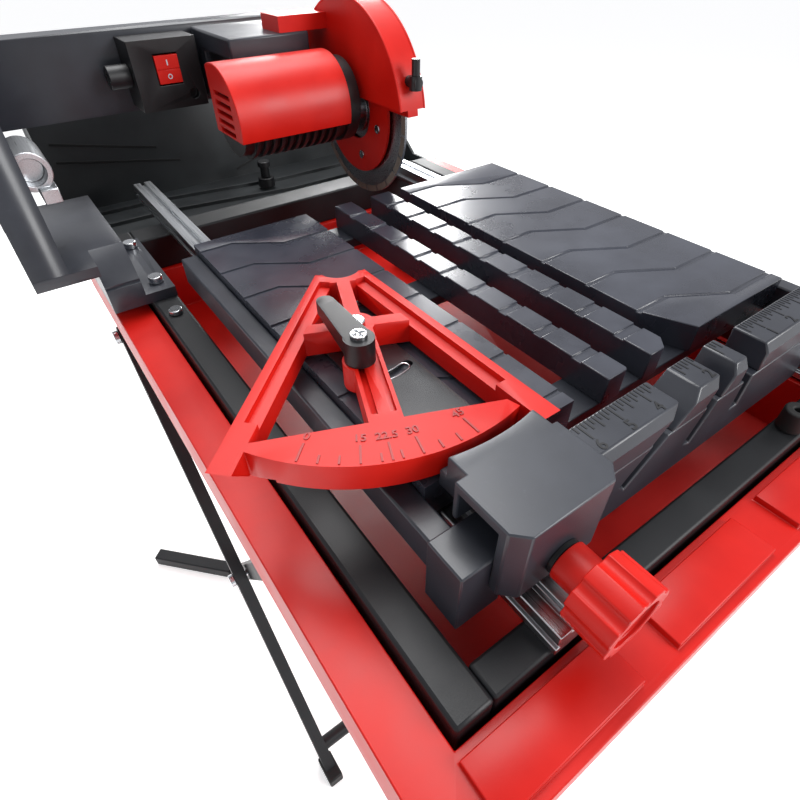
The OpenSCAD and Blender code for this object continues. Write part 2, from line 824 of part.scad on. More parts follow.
// Blade guard: a closed hood above and a narrow lobe on each side of the blade
module guard() {
    cav = 3.6;
    color(c_red) on_floor() difference() {
        union() {
            guard_slab(guard_t) guard_outline(0);
            guard_slab(15) intersection() {
                circle(r = hood_r, $fn = 128);
                translate([-150, 16]) square([300, 200]);
            }
            block(tilt_x - 40, -15 + e, arbor_y + 32, arbor_y + 72, tilt_z + 36, tilt_z + 50);
        }
        guard_slab(cav) {
            circle(r = blade_r + 5, $fn = 128);
        }
        rod_x(-20, 20, arbor_y, arbor_z, 31);
        for (a = [15, 75]) translate([0, arbor_y - 48 * cos(a), arbor_z - 48 * sin(a)])
            rod_x(-20, 20, 0, 0, 2.6);
    }
}

module guard_slab(half) {
    translate([-half, arbor_y, arbor_z]) rotate([90, 0, 90]) linear_extrude(2 * half) children();
}

module guard_bolts() {
    color(c_chrome) on_floor() for (a = [15, 75], s = [-1, 1]) {
        y = arbor_y - 48 * cos(a);
        z = arbor_z - 48 * sin(a);
        rod_x(s < 0 ? -guard_t - 2 : guard_t, s < 0 ? -guard_t : guard_t + 2, y, z, 4.5);
        rod_x(s < 0 ? -guard_t : cav_x(), s < 0 ? -cav_x() : guard_t, y, z, 2.6);
    }
}

function cav_x() = 3.6;

module nozzle() {
    color(c_black) on_floor() {
        rod_y(0, arbor_y - hood_r - 8, arbor_y - hood_r + 8, arbor_z + 40, 5);
        rod_z(0, arbor_y - hood_r - 3, arbor_z + 34, arbor_z + 46, 6);
        rod_z(0, arbor_y - hood_r - 3, arbor_z + 46 - e, arbor_z + 60, 4);
    }
}

module tilt_knob() {
    x = tilt_x - lock_off;
    color(c_black) on_floor() {
        rod_y(x, head_y1 + 7, bridge_y1 + 3, tilt_z, lock_r);
        rod_y(x, bridge_y1 + gap, bridge_y1 + 16, tilt_z, 16);
    }
}

module blade() {
    half = blade_t / 2;
    color(c_chrome) on_floor() difference() {
        union() {
            rod_x(-half, half, arbor_y, arbor_z, blade_r - 8, 96);
            difference() {
                rod_x(-half - 0.15, half + 0.15, arbor_y, arbor_z, blade_r, 96);
                rod_x(-half - 1, half + 1, arbor_y, arbor_z, blade_r - 8 - e, 96);
            }
        }
        rod_x(-half - 1, half + 1, arbor_y, arbor_z, arbor_r + run);
    }
}

module flanges() {
    half = blade_t / 2;
    color(c_alu) on_floor() {
        rod_x(half, half + 4, arbor_y, arbor_z, 24);
        rod_x(-half - 4, -half, arbor_y, arbor_z, 24);
        rod_x(motor_x1 - 9, half + 16, arbor_y, arbor_z, arbor_r);
        rod_x(half + 4, half + 12, arbor_y, arbor_z, 16, 6);
    }
}

// ---- Stand ----

// One leg tube in the plane of the side, from its top pivot to its foot
module leg_bar(x, y0, dir) {
    a = dir > 0 ? -leg_ang : 180 + leg_ang;
    w = tube_wall;
    translate([x, y0, -pivot_drop]) rotate([a, 0, 0]) difference() {
        block(0, leg_t, -leg_w / 2, 2 * leg_half - foot_cut, -leg_w / 2, leg_w / 2);
        for (part = [[20, leg_half - 20], [leg_half + 20, 2 * leg_half - foot_cut - 6]])
            block(w, leg_t - w, part[0], part[1], -leg_w / 2 + w, leg_w / 2 - w);
    }
}

module leg_tube_x(x, y, z, r) {
    difference() {
        rod_x(x_mid - x, x_mid + x, y, z, r);
        rod_x(x_mid - x + 3, x_mid + x - 3, y, z, r - tube_wall);
    }
}

function along_a(t) = [leg_y_back - leg_reach * t, -pivot_drop - leg_drop * t];
function along_b(t) = [leg_y_front + leg_reach * t, -pivot_drop - leg_drop * t];

// Bores through both legs of a frame at the point p in the side plane
module leg_bores(x, p) {
    both_sides() rod_x(x_mid - x - leg_t - 1, x_mid - x + 1, p[0], p[1], pin_r + run);
}

module legs_a() {
    color(c_steel) on_floor() difference() {
        both_sides() leg_bar(x_mid - leg_x_a - leg_t, leg_y_back, -1);
        leg_bores(leg_x_a, [leg_y_back, -pivot_drop]);
        leg_bores(leg_x_a, [leg_y_mid, leg_z_mid]);
    }
}

module tube_a() {
    p = along_a(1.84);
    color(c_steel) on_floor() leg_tube_x(leg_x_a, p[0], p[1], 10);
}

module legs_b() {
    color(c_steel) on_floor() difference() {
        both_sides() leg_bar(x_mid - leg_x_b - leg_t, leg_y_front, 1);
        leg_bores(leg_x_b, [leg_y_mid, leg_z_mid]);
    }
}

module tubes_b() {
    low = along_b(1.66);
    color(c_steel) on_floor() {
        leg_tube_x(leg_x_b, low[0], low[1], 10);
        leg_tube_x(leg_x_b, leg_y_front, -pivot_drop, 7);
    }
}

module foot(x, y) {
    h = 26;
    translate([x, y, -table_h]) block(-3, leg_t + 3, -20, 20, 0, h);
}

module feet_a() {
    p = along_a(2);
    color(c_black) on_floor() both_sides() foot(x_mid - leg_x_a - leg_t, p[0] + 8);
}

module feet_b() {
    p = along_b(2);
    color(c_black) on_floor() both_sides() foot(x_mid - leg_x_b - leg_t, p[0] - 8);
}

// Splayed tubes at the rear feet that widen the stand
module stabilisers() {
    p = along_b(2);
    len = sqrt(stab_x * stab_x + stab_y * stab_y);
    color(c_steel) on_floor() both_sides()
        translate([x_mid - leg_x_b - leg_t - 3, p[0] + 2, -table_h]) rotate([0, 0, atan2(stab_y, -stab_x)])
            difference() {
                block(-4, len, -12, 12, 0, 24);
                block(20, len - tube_wall, -12 + tube_wall, 12 - tube_wall, tube_wall, 24 - tube_wall);
            }
}

module leg_bolts() {
    color(c_chrome) on_floor() both_sides() {
        for (p = [[leg_y_back, -pivot_drop], [leg_y_mid, leg_z_mid]]) {
            rod_x(x_mid - leg_x_a - leg_t - 4, x_mid - leg_x_b + (p[1] == leg_z_mid ? 1 : 6),
                p[0], p[1], pin_r);
            rod_x(x_mid - leg_x_a - leg_t - 7, x_mid - leg_x_a - leg_t - 0.4, p[0], p[1], pin_r + 4);
        }
    }
}

deck_left();
deck_strip_1();
deck_strip_2();
deck_right();
cart_sides();
cart_beams();
glide_shoes();
front_beam();
ruler();
side_rails();
cross_tubes();
guide_rails();
water_tray();
drain_plug();
splash_tray();
pump();
buffers();
frame_bolts();
column();
column_sleeve();
column_bolts();
cross_beam();
trunnion_pin();
leg_brackets();
switch_box();
rocker();
inlet();
stop_block();
stop_tongue();
pivot_pin();
knob_washer();
protractor();
clamp_lever();
lever_screw();
knob();
knob_stem();
carrier();
motor();
motor_cover();
guard();
guard_bolts();
nozzle();
tilt_knob();
blade();
flanges();
legs_a();
tube_a();
legs_b();
tubes_b();
feet_a();
feet_b();
stabilisers();
leg_bolts();
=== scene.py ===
# %% [markdown]
# # A wet tile cutter on a folding stand
# The saw's metal and plastic parts arrive ready-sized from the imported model. This lesson gives them
# rounded edges, raised scales, moulded details and believable finishes, then lights them like a
# catalogue picture. Everything is in metres, with the floor at z = 0.

# %% Load the fixed frame
import bpy
import bmesh
import json
import math
from mathutils import Matrix, Vector


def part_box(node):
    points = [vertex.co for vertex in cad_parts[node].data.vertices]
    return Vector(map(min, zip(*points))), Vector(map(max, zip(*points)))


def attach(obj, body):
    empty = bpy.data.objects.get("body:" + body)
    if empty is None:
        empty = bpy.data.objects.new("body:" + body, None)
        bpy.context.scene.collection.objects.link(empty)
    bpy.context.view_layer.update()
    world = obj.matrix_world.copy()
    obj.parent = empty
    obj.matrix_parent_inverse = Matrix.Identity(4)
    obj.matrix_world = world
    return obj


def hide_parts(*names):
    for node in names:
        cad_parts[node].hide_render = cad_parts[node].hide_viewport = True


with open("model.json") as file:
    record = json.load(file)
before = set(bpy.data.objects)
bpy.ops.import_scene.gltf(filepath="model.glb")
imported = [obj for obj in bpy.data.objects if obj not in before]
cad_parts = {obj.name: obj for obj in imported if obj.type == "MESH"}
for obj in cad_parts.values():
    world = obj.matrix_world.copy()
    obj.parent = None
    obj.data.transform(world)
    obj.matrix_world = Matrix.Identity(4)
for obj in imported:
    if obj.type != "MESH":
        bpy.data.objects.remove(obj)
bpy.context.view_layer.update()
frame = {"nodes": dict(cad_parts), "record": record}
MM = 0.001

# %% [markdown]
# ## Where things are
# Three faces fix the whole saw: the blade's middle plane, the fence's rear face and the table's top.
# Every place below is counted from them in millimetres, so the details follow the saw if it moves.

# %% Reference faces
blade_lo, blade_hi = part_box("blade")
ruler_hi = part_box("ruler")[1]
deck_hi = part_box("deck_left")[1]
blade_x = (blade_lo.x + blade_hi.x) / 2
datum = Vector((blade_x, ruler_hi.y, deck_hi.z))


def at(x, y, z):
    """A point counted in millimetres from the blade plane, the fence and the table top."""
    return datum + Vector((x, y, z)) * MM


print("datum", [round(v, 4) for v in datum])

# %% [markdown]
# ## Colours
# Paint and plastic colours are quoted the way a designer writes them, as sRGB hex values. The shader
# works in linear light, so one function converts them.

# %% Colour and node helpers


def linear(hex_value):
    """Turns an sRGB hex string into the linear colour a shader socket needs."""
    parts = [int(hex_value[i:i + 2], 16) / 255 for i in (1, 3, 5)]
    return tuple(c / 12.92 if c <= 0.04045 else ((c + 0.055) / 1.055) ** 2.4 for c in parts) + (1.0,)


def add_node(tree, kind, settings=None, inputs=None):
    """Adds one node, sets its properties and values, and links any socket it is given."""
    node = tree.nodes.new(kind)
    for name, value in (settings or {}).items():
        setattr(node, name, value)
    for name, value in (inputs or {}).items():
        if isinstance(value, bpy.types.NodeSocket):
            tree.links.new(value, node.inputs[name])
        else:
            node.inputs[name].default_value = value
    return node


# %% [markdown]
# ## One recipe for coated surfaces
# Powder coat, moulded plastic and rubber share a build: a base colour that drifts slightly, a gloss that
# varies from patch to patch, and a fine bump for the skin's grain. Only the sizes and strengths differ, so
# one recipe takes the grain size in millimetres and each finish below calls it with real values.

# %% Recipe for coated and moulded finishes
PATCH_MM = 70       # width of a patch of slightly different tone and gloss
DUST_MM = 5         # width of a worn speck
DUST_HEX = "#b9bcc4"
COAT_ROUGHNESS = 0.18


def coated(name, dark, light, rough_low, rough_high, grain_mm, bump_mm, coat=0.0, speck=0.0, shine=0.5):
    """A dielectric finish: two close tones, patchy gloss and a fine skin."""
    mat = bpy.data.materials.new(name)
    mat.use_nodes = True
    tree = mat.node_tree
    shader = tree.nodes["Principled BSDF"]
    place = add_node(tree, "ShaderNodeTexCoord").outputs["Object"]
    drift = add_node(tree, "ShaderNodeTexNoise", None,
                     {"Vector": place, "Scale": 1 / (PATCH_MM * MM), "Detail": 4.0, "Roughness": 0.6})
    tone = add_node(tree, "ShaderNodeValToRGB", None, {"Fac": drift.outputs["Fac"]})
    tone.color_ramp.elements[0].position = 0.35
    tone.color_ramp.elements[1].position = 0.68
    tone.color_ramp.elements[0].color = linear(dark)
    tone.color_ramp.elements[1].color = linear(light)
    colour = tone.outputs["Color"]
    if speck:
        dust = add_node(tree, "ShaderNodeTexNoise", None,
                        {"Vector": place, "Scale": 1 / (DUST_MM * MM), "Detail": 6.0, "Roughness": 0.7})
        dusty = add_node(tree, "ShaderNodeValToRGB", None, {"Fac": dust.outputs["Fac"]})
        dusty.color_ramp.elements[0].position = 0.62
        dusty.color_ramp.elements[1].position = 0.8
        dusty.color_ramp.elements[0].color = (0, 0, 0, 1)
        dusty.color_ramp.elements[1].color = (speck, speck, speck, 1)
        mixed = add_node(tree, "ShaderNodeMix", {"data_type": "RGBA"})
        tree.links.new(dusty.outputs["Color"], mixed.inputs["Factor"])
        tree.links.new(colour, mixed.inputs["A"])
        mixed.inputs["B"].default_value = linear(DUST_HEX)
        colour = mixed.outputs["Result"]
    tree.links.new(colour, shader.inputs["Base Color"])
    gloss = add_node(tree, "ShaderNodeMapRange", None,
                     {"Value": drift.outputs["Fac"], "From Min": 0.3, "From Max": 0.7,
                      "To Min": rough_low, "To Max": rough_high})
    tree.links.new(gloss.outputs["Result"], shader.inputs["Roughness"])
    grain = add_node(tree, "ShaderNodeTexNoise", None,
                     {"Vector": place, "Scale": 1 / (grain_mm * MM), "Detail": 3.0, "Roughness": 0.5})
    bump = add_node(tree, "ShaderNodeBump", None,
                    {"Height": grain.outputs["Fac"], "Strength": 0.6, "Distance": bump_mm * MM})
    tree.links.new(bump.outputs["Normal"], shader.inputs["Normal"])
    shader.inputs["Specular IOR Level"].default_value = shine
    shader.inputs["Coat Weight"].default_value = coat
    shader.inputs["Coat Roughness"].default_value = COAT_ROUGHNESS
    return mat


# %% [markdown]
# ## One recipe for bare metal
# Extruded, ground and plated metals are told apart by the direction and depth of their tool marks. A noise
# stretched along the tool's path gives fine lines; the same lines steer the gloss and a shallow bump.

# %% Recipe for bare metals


def bare_metal(name, dark, light, rough_low, rough_high, stretch, line_mm, bump_mm):
    """A metal with tool marks: stretch holds how much longer a mark is along x, y and z."""
    mat = bpy.data.materials.new(name)
    mat.use_nodes = True
    tree = mat.node_tree
    shader = tree.nodes["Principled BSDF"]
    place = add_node(tree, "ShaderNodeTexCoord").outputs["Object"]
    along = add_node(tree, "ShaderNodeMapping", None,
                     {"Vector": place, "Scale": tuple(1 / s for s in stretch)})
    marks = add_node(tree, "ShaderNodeTexNoise", None,
                     {"Vector": along.outputs["Vector"], "Scale": 1 / (line_mm * MM),
                      "Detail": 5.0, "Roughness": 0.65})
    tone = add_node(tree, "ShaderNodeValToRGB", None, {"Fac": marks.outputs["Fac"]})
    tone.color_ramp.elements[0].position = 0.3
    tone.color_ramp.elements[1].position = 0.7
    tone.color_ramp.elements[0].color = linear(dark)
    tone.color_ramp.elements[1].color = linear(light)
    tree.links.new(tone.outputs["Color"], shader.inputs["Base Color"])
    gloss = add_node(tree, "ShaderNodeMapRange", None,
                     {"Value": marks.outputs["Fac"], "From Min": 0.3, "From Max": 0.7,
                      "To Min": rough_low, "To Max": rough_high})
    tree.links.new(gloss.outputs["Result"], shader.inputs["Roughness"])
    bump = add_node(tree, "ShaderNodeBump", None,
                    {"Height": marks.outputs["Fac"], "Strength": 0.5, "Distance": bump_mm * MM})
    tree.links.new(bump.outputs["Normal"], shader.inputs["Normal"])
    shader.inputs["Metallic"].default_value = 1.0
    return mat


# %% [markdown]
# ## The saw's finishes
# Each finish is named for what the real one is and how it was made. The table is pressure-cast aluminium
# with a blue-grey powder coat that rubs brighter on its high spots. Frame tubes are coarser, darker powder
# coat. The tray, protractor and knob are injection-moulded red ABS with a satin skin.

# %% Make the finishes
# Satin blue-grey skin with a broad soft highlight.
cast_coat = coated("powder_coated_cast_aluminium", "#26282f", "#31343c", 0.30, 0.42, 0.9, 0.05,
                   coat=0.15, speck=0.03)
# The same coat polished by sliding tiles, so it mirrors the windows a little.
deck_coat = coated("rubbed_powder_coat_on_cast_table", "#2c2e37", "#393c46", 0.22, 0.36, 0.9, 0.05,
                   coat=0.25, speck=0.05)
# Near-black and pebbly, with only a dull sheen along the tubes.
tube_coat = coated("textured_powder_coated_steel_tube", "#101114", "#1a1b1e", 0.42, 0.55, 1.2, 0.12,
                   speck=0.02, shine=0.4)
# Warm deep red with a soft moulded sheen.
red_abs = coated("injection_moulded_red_abs", "#bf1208", "#d11a0c", 0.34, 0.46, 1.4, 0.04, shine=0.32)
# The same plastic in a thicker wall with a coarser skin, so wide faces look slightly uneven.
tray_abs = coated("thick_moulded_red_abs_tray", "#bc1008", "#cc170b", 0.32, 0.44, 2.2, 0.05, shine=0.32)
# Black with a narrow satin highlight on its edges.
black_nylon = coated("moulded_black_nylon", "#0c0c0e", "#17171a", 0.34, 0.48, 1.0, 0.05)
# Matte black that gives almost no highlight.
black_rubber = coated("moulded_black_rubber", "#0b0b0b", "#151516", 0.62, 0.78, 1.1, 0.08)
# Dull green-grey plastic that stays quiet behind the machine.
pan_abs = coated("moulded_dark_grey_abs_pan", "#1a1d1f", "#25292b", 0.40, 0.55, 1.6, 0.08)
# Pale silver with fine lines along the extrusion.
anodised = bare_metal("clear_anodised_extruded_aluminium", "#b4b7ba", "#d5d7da", 0.26, 0.36,
                      (1, 60, 1), 0.9, 0.02)
# Bright sheet with rolling lines across it.
sheet_alu = bare_metal("pressed_bright_aluminium_sheet", "#a9acaf", "#cfd1d4", 0.24, 0.34,
                       (40, 1, 1), 0.9, 0.02)
# Bright, slightly blue-white plating that glints.
zinc = bare_metal("zinc_plated_turned_steel", "#b5b7ba", "#dfe1e4", 0.16, 0.28, (1, 1, 1), 1.2, 0.015)
# Greyer metal with a ground, even shine.
disc_steel = bare_metal("ground_saw_disc_steel", "#8d9094", "#b9bcc0", 0.24, 0.36, (1, 1, 1), 1.5, 0.02)
# Smooth dark steel that reflects in a blurred way.
tongue_plate = coated("blackened_pressed_steel_plate", "#1b1c1f", "#26282b", 0.16, 0.26, 1.0, 0.02, coat=0.3)
# Sandy, matte and rough to look at.
rim_grit = coated("sintered_diamond_rim", "#6b665c", "#8b857a", 0.55, 0.7, 0.8, 0.25)
# Pale flat ink without gloss.
white_print = coated("pad_printed_pale_ink", "#b9bdc6", "#c6cad2", 0.45, 0.55, 1.0, 0.02)
# Painted shade: near-black, as dark as the shadow that a shallow cast line holds, for the fence's marks and
# figures.
scale_marks_painted_shade = coated("shadowed_cast_scale_lines", "#0e0f12", "#15161a", 0.4, 0.5, 1.0, 0.02)
# Painted shade: a darker red than the sector's own plastic, standing in for the shade along the raised edges
# of marks moulded in the same red.
degree_marks_painted_shade = coated("raised_red_abs_scale_painted_shade", "#8f0a07", "#a20e0a", 0.35, 0.45, 1.4, 0.04)
print("made", len(bpy.data.materials), "finishes")

# %% [markdown]
# ## Rounded edges
# A cast or moulded edge is never razor sharp: its small radius catches a line of light, which is what makes
# a part look real. The frame's meshes come with crisp edges, so each visible part is copied, its triangles
# are welded and merged into whole faces, and a bevel no wider than the real radius rounds what is sharp.

# %% Softened copies of the frame's parts
node_body = {n: b for b, ns in frame["record"]["behaviour"]["bodies"].items() for n in ns}
# Holes go through the faces of these parts. One merged face can't hold a hole, so they stay in triangles.
PIERCED = ("protractor", "stop_tongue", "column", "cross_beam")
WELD_MM = 0.002
FLAT_DEG = 0.6      # faces closer than this to flat are merged
EDGE_DEG = 30       # edges sharper than this are rounded
BEVEL_STEPS = 2


def finish_piece(obj, body, material, smooth_deg=32):
    """Gives a new piece its finish, smooth shading and the body that carries it."""
    obj.data.materials.clear()
    obj.data.materials.append(material)
    for poly in obj.data.polygons:
        poly.use_smooth = True
    obj.data.set_sharp_from_angle(angle=math.radians(smooth_deg))
    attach(obj, body)
    return obj


def softened(node, material, radius_mm):
    """Copies a frame part, welds it and rounds its edges; the copy stands for that part."""
    mesh = frame["nodes"][node].data.copy()
    bm = bmesh.new()
    bm.from_mesh(mesh)
    bmesh.ops.remove_doubles(bm, verts=bm.verts, dist=WELD_MM * MM)
    if node not in PIERCED:
        bmesh.ops.dissolve_limit(bm, angle_limit=math.radians(FLAT_DEG), verts=bm.verts, edges=bm.edges)
    bm.to_mesh(mesh)
    bm.free()
    obj = bpy.data.objects.new("soft_" + node, mesh)
    bpy.context.scene.collection.objects.link(obj)
    bevel = obj.modifiers.new("edge_radius", "BEVEL")
    bevel.width = radius_mm * MM
    bevel.segments = BEVEL_STEPS
    bevel.limit_method = "ANGLE"
    bevel.angle_limit = math.radians(EDGE_DEG)
    finish_piece(obj, node_body[node], material, smooth_deg=40)
    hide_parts(node)


finishes = {
    "deck_left": (deck_coat, 1.4), "deck_right": (deck_coat, 1.4),
    "deck_strip_1": (deck_coat, 1.2), "deck_strip_2": (deck_coat, 1.2),
    "cart_sides": (cast_coat, 1.5), "cart_beams": (cast_coat, 1.0), "front_beam": (cast_coat, 1.0),
    "ruler": (cast_coat, 1.2), "column": (cast_coat, 4.0), "cross_beam": (cast_coat, 4.0),
    "stop_block": (cast_coat, 1.8), "carrier": (cast_coat, 3.0),
    "side_rails": (tube_coat, 2.5), "cross_tubes": (tube_coat, 2.0), "leg_brackets": (tube_coat, 0.8),
    "legs_a": (tube_coat, 2.5), "legs_b": (tube_coat, 2.5), "stabilisers": (tube_coat, 2.5),
    "water_tray": (tray_abs, 2.0), "protractor": (red_abs, 0.9), "knob": (red_abs, 1.2),
    "motor_cover": (red_abs, 1.5), "guard": (red_abs, 1.5), "rocker": (red_abs, 0.8),
    "guide_rails": (anodised, 0.6), "column_sleeve": (anodised, 0.8), "stop_tongue": (tongue_plate, 0.4),
    "flanges": (sheet_alu, 0.5), "glide_shoes": (black_nylon, 0.8), "pump": (black_nylon, 2.0),
    "switch_box": (black_nylon, 2.0), "inlet": (black_nylon, 0.8), "clamp_lever": (black_nylon, 1.0),
    "motor": (black_nylon, 0.8), "nozzle": (black_nylon, 0.6), "tilt_knob": (black_nylon, 1.2),
    "knob_washer": (black_nylon, 0.4), "drain_plug": (black_rubber, 0.8), "buffers": (black_rubber, 1.2),
    "feet_a": (black_rubber, 2.5), "feet_b": (black_rubber, 2.5), "splash_tray": (pan_abs, 1.5),
    "frame_bolts": (zinc, 0.8), "column_bolts": (zinc, 0.8), "trunnion_pin": (zinc, 0.8),
    "pivot_pin": (zinc, 0.8), "lever_screw": (zinc, 0.35), "knob_stem": (zinc, 0.5),
    "guard_bolts": (zinc, 0.5), "leg_bolts": (zinc, 0.8),
}
for node, (material, radius) in finishes.items():
    softened(node, material, radius)
for node, material in {"tube_a": tube_coat, "tubes_b": tube_coat, "blade": disc_steel}.items():
    obj = frame["nodes"][node]
    obj.data.materials.clear()
    obj.data.materials.append(material)
print("softened", len(finishes), "parts")

# %% [markdown]
# ## Marks cast into the fence
# The fence doubles as a ruler divided in inches from the blade outwards. On the real casting every mark is a
# shallow line that holds a shadow. Here the marks and figures are thin near-black bodies laid on the top
# face, painted shade that stands in for that shadow from any side, and they only go where the fence has
# metal, so the blade's three gaps stay clear.

# %% Bars and numerals
CAPITAL_SHARE = 0.7     # a figure's height over its font size
BOLDER_SHARE = 0.02     # how far a stroke is widened, over the figure's height


def bar(bm, lo, hi, turn=None):
    """Adds a box between two corners counted in millimetres, turned about its own middle if asked."""
    lo, hi = Vector(lo), Vector(hi)
    size = (hi - lo) * MM
    made = bmesh.ops.create_cube(bm, size=1.0)["verts"]
    bmesh.ops.scale(bm, verts=made, vec=size)
    if turn is not None:
        bmesh.ops.rotate(bm, verts=made, cent=(0, 0, 0), matrix=Matrix.Rotation(turn, 3, "Z"))
    bmesh.ops.translate(bm, verts=made, vec=at(*((lo + hi) / 2)))
    return made


def each_once(items):
    """The items without repeats, in the order they came."""
    return list(dict.fromkeys(items))


def numeral(bm, text, height_mm, place, turn, depth_mm):
    """Adds raised figures: the middle at a place counted in millimetres, turned about z."""
    font = bpy.data.curves.new("figures", "FONT")
    font.body = text
    font.size = height_mm * MM / CAPITAL_SHARE
    font.extrude = depth_mm * MM / 2
    font.offset = height_mm * MM * BOLDER_SHARE
    font.align_x = "CENTER"
    font.align_y = "CENTER"
    holder = bpy.data.objects.new("figures", font)
    flat = bpy.data.meshes.new_from_object(holder)
    flat.transform(Matrix.Translation(at(*place)) @ Matrix.Rotation(turn, 4, "Z"))
    bm.from_mesh(flat)
    bpy.data.objects.remove(holder)
    bpy.data.meshes.remove(flat)


# %% [markdown]
# Every new piece is finished the same way: its faces are turned outwards, it gets a small edge radius if the
# real one has one, and it rides on the body that carries it. A ruler mark also has to know where metal is.

# %% Finished pieces and the metal under them


def piece_from(bm, name, body, material, bevel_mm=0.0):
    """Turns a bmesh into a finished piece, with rounded edges if a radius is given."""
    bmesh.ops.recalc_face_normals(bm, faces=bm.faces)
    mesh = bpy.data.meshes.new(name)
    bm.to_mesh(mesh)
    bm.free()
    obj = bpy.data.objects.new(name, mesh)
    bpy.context.scene.collection.objects.link(obj)
    if bevel_mm:
        mod = obj.modifiers.new("edge_radius", "BEVEL")
        mod.width = bevel_mm * MM
        mod.segments = BEVEL_STEPS
        mod.limit_method = "ANGLE"
    finish_piece(obj, body, material)


def solid_spans(node, z):
    """The stretches of x, in millimetres, where a part's upward faces lie at one height."""
    spans = []
    for poly in frame["nodes"][node].data.polygons:
        if poly.normal.z > 0.99 and abs(poly.center.z - z) < 0.2 * MM:
            xs = [(frame["nodes"][node].data.vertices[v].co.x - datum.x) / MM for v in poly.vertices]
            spans.append((min(xs), max(xs)))
    merged = []
    for lo, hi in sorted(spans):
        if merged and lo <= merged[-1][1] + 0.5:
            merged[-1][1] = max(merged[-1][1], hi)
        else:
            merged.append([lo, hi])
    return merged


# %% [markdown]
# The scale is divided in eighths of an inch. Whole inches have the longest line and a figure, and a figure is
# left out where a blade gap would cut it.

# %% Fence scale
INCH = 25.4
ZERO_X = 3.0                                    # where the scale starts beside the blade
TICK_REACH = {8: 12.3, 4: 9.5, 2: 7.5, 1: 5.0}  # length for whole, half, quarter and eighth inches
TICK_HALF_W = 0.6
TICK_BACK_Y = -1.0
FIGURE_H = 7.6
FIGURE_Y = -18.6
SUNK, PROUD = 0.1, 0.25     # how deep a line is rooted in the fence and how far it stands above it
END_ROOM = 1.2              # metal needed on each side of a line
GAP_ROOM, METAL_ROOM = 4.5, 3.2     # room a figure needs beyond and within the end of the metal
fence_top = (ruler_hi.z - datum.z) / MM
fence_spans = solid_spans("ruler", ruler_hi.z)
bm = bmesh.new()
for eighth in range(-64, 68):
    x = ZERO_X + eighth * INCH / 8
    if not any(lo + END_ROOM < x < hi - END_ROOM for lo, hi in fence_spans):
        continue
    reach = next(TICK_REACH[share] for share in TICK_REACH if eighth % share == 0)
    bar(bm, (x - TICK_HALF_W, TICK_BACK_Y - reach, fence_top - SUNK),
        (x + TICK_HALF_W, TICK_BACK_Y, fence_top + PROUD))
    cut = any(lo - GAP_ROOM < x < lo + METAL_ROOM or hi - METAL_ROOM < x < hi + GAP_ROOM
              for lo, hi in fence_spans)
    if eighth % 8 == 0 and not cut:
        numeral(bm, str(abs(eighth) // 8), FIGURE_H, (x, FIGURE_Y, fence_top + 0.1), 0.0, 0.4)
# The marks and figures are near-black, painted shade for the shadow a cast line holds.
piece_from(bm, "fence_scale", "table", scale_marks_painted_shade)
print("fence scale over", [[round(v) for v in s] for s in fence_spans])

# %% [markdown]
# ## The protractor's degree scale
# Figures and ticks are moulded proud of the sector, in the same red plastic, so on the real saw they show
# only by the light along their edges. Here they get a darker red, painted shade for those edges. Every fifth
# degree has a tick and the five common cuts have a longer one and a figure.

# %% Protractor scale and pointer
SECTOR_R = 128.5        # radius of the sector's outer edge
LAST_DEG = 45
LAST_AT_DEG = -91.0     # where the last mark stands, as a heading about the pivot
NAMED = (0, 15, 22.5, 30, 45)
POINTER_REACH = (138.6, 133.4)      # where the stop's index line starts and ends, from the pivot
MARK_HALF_W = 0.6
DEGREE_FIGURE_H = 5.2
pin_lo, pin_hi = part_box("pivot_pin")
pivot = ((pin_lo + pin_hi) / 2 - datum) / MM
sector_top = (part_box("protractor")[1].z - datum.z) / MM
bm = bmesh.new()
for value in (0, 5, 10, 15, 20, 22.5, 25, 30, 35, 40, 45):
    a = math.radians(LAST_AT_DEG - (LAST_DEG - value))
    length = 13.0 if value in NAMED else 6.0
    middle = SECTOR_R - length / 2
    x, y = pivot.x + middle * math.cos(a), pivot.y + middle * math.sin(a)
    bar(bm, (x - length / 2, y - MARK_HALF_W, sector_top - 0.2),
        (x + length / 2, y + MARK_HALF_W, sector_top + 0.5), a)
    if value in NAMED:
        r = SECTOR_R - length - 5.0
        spot = (pivot.x + r * math.cos(a), pivot.y + r * math.sin(a), sector_top)
        numeral(bm, str(value), DEGREE_FIGURE_H, spot, a + math.pi / 2, 1.0)
# The degree marks are darker red than the sector, painted shade for their raised edges.
piece_from(bm, "degree_scale", "protractor", degree_marks_painted_shade)
bm = bmesh.new()
bar(bm, (pivot.x - 2.6, pivot.y - POINTER_REACH[0], 11.9), (pivot.x - 1.4, pivot.y - POINTER_REACH[1], 12.7))
piece_from(bm, "pointer_line", "stop", white_print)
print("degree scale at radius", SECTOR_R, "mm")

# %% [markdown]
# ## The lever's slot
# The tongue under the protractor has a curved slot for the clamping stud. A thin ring of bright round zinc
# wire is drawn along the slot's outline, a painted highlight standing in for the light that the slot's rim
# catches.

# %% Painted highlight round the lever's slot
STUD_R = 3.9            # half the slot's width
SLOT_SWEEP = math.radians(45)
ARC_STEPS = 16
END_STEPS = 8
WIRE_R = 0.55
lever_lo, lever_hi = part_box("lever_screw")
lever_at = ((lever_lo + lever_hi) / 2 - datum) / MM
tongue_top = (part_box("stop_tongue")[1].z - datum.z) / MM
slot_r = math.hypot(lever_at.x - pivot.x, lever_at.y - pivot.y)
slot_a = math.atan2(lever_at.y - pivot.y, lever_at.x - pivot.x)


def on_slot(a, r):
    """A point above the tongue at an angle and radius about the pivot."""
    return at(pivot.x + r * math.cos(a), pivot.y + r * math.sin(a), tongue_top + 0.15)


def slot_side(r, steps):
    """One long side of the slot, walked through the given steps."""
    return [on_slot(slot_a + SLOT_SWEEP * i / ARC_STEPS, r) for i in steps]


